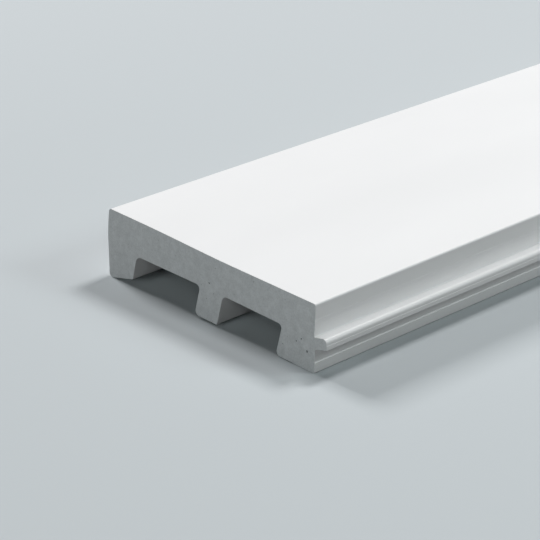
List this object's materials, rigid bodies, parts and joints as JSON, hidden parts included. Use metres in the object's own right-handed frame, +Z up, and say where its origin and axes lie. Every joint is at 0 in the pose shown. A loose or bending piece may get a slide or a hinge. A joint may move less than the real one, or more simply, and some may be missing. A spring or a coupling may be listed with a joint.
{
  "type": "window sill board",
  "caption": "Extruded white window sill board with a nearly flat deck, a drip-edged nose, feet with open channels between them, and a hooked tongue along the frame side.",
  "frame": {"origin": "middle of the board's bounding box, at the height of the drip edge, the board's lowest line", "axes": "+X along the board, +Y out through the nose, -Y out through the tongue towards the window frame, +Z up through the deck"},
  "size_m": [1.2192, 0.1237, 0.0296],
  "materials": {
    "foamed_pvc": "satin white extruded skin, matte fine-celled sawn ends"
  },
  "bodies": {
    "root": {"sill_board": "foamed_pvc"}
  },
  "joints": []
}
